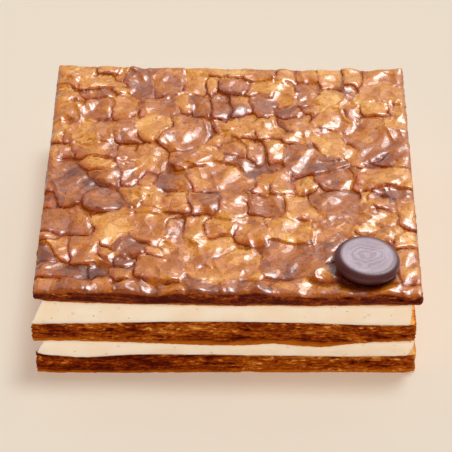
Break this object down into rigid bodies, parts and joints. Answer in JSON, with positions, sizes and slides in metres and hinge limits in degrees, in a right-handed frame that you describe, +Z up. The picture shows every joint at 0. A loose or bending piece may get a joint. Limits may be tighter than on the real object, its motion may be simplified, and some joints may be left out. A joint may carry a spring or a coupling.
{
  "type": "mille feuille",
  "caption": "Square mille feuille cake: flaky pastry sheets with cream between them, a blistered caramel-glazed top and a chocolate disc.",
  "frame": {"origin": "middle of the cake's outline, on the surface that it stands on", "axes": "+Z up, -Y towards the front of the cake, +X to the right seen from the front"},
  "size_m": [0.1627, 0.1629, 0.0522],
  "materials": {
    "pastry": "cut edge of baked puff pastry, thin dark and amber leaves",
    "cream": "smooth set pastry cream with fine vanilla specks",
    "glazed_pastry": "blistered puff pastry under a clear glossy caramel glaze",
    "chocolate": "dark tempered chocolate with a soft sheen"
  },
  "bodies": {
    "root": {"bottom_pastry": "pastry", "lower_cream": "cream", "middle_pastry": "pastry", "upper_cream": "cream", "top_pastry": "glazed_pastry", "chocolate_disc": "chocolate"}
  },
  "joints": []
}
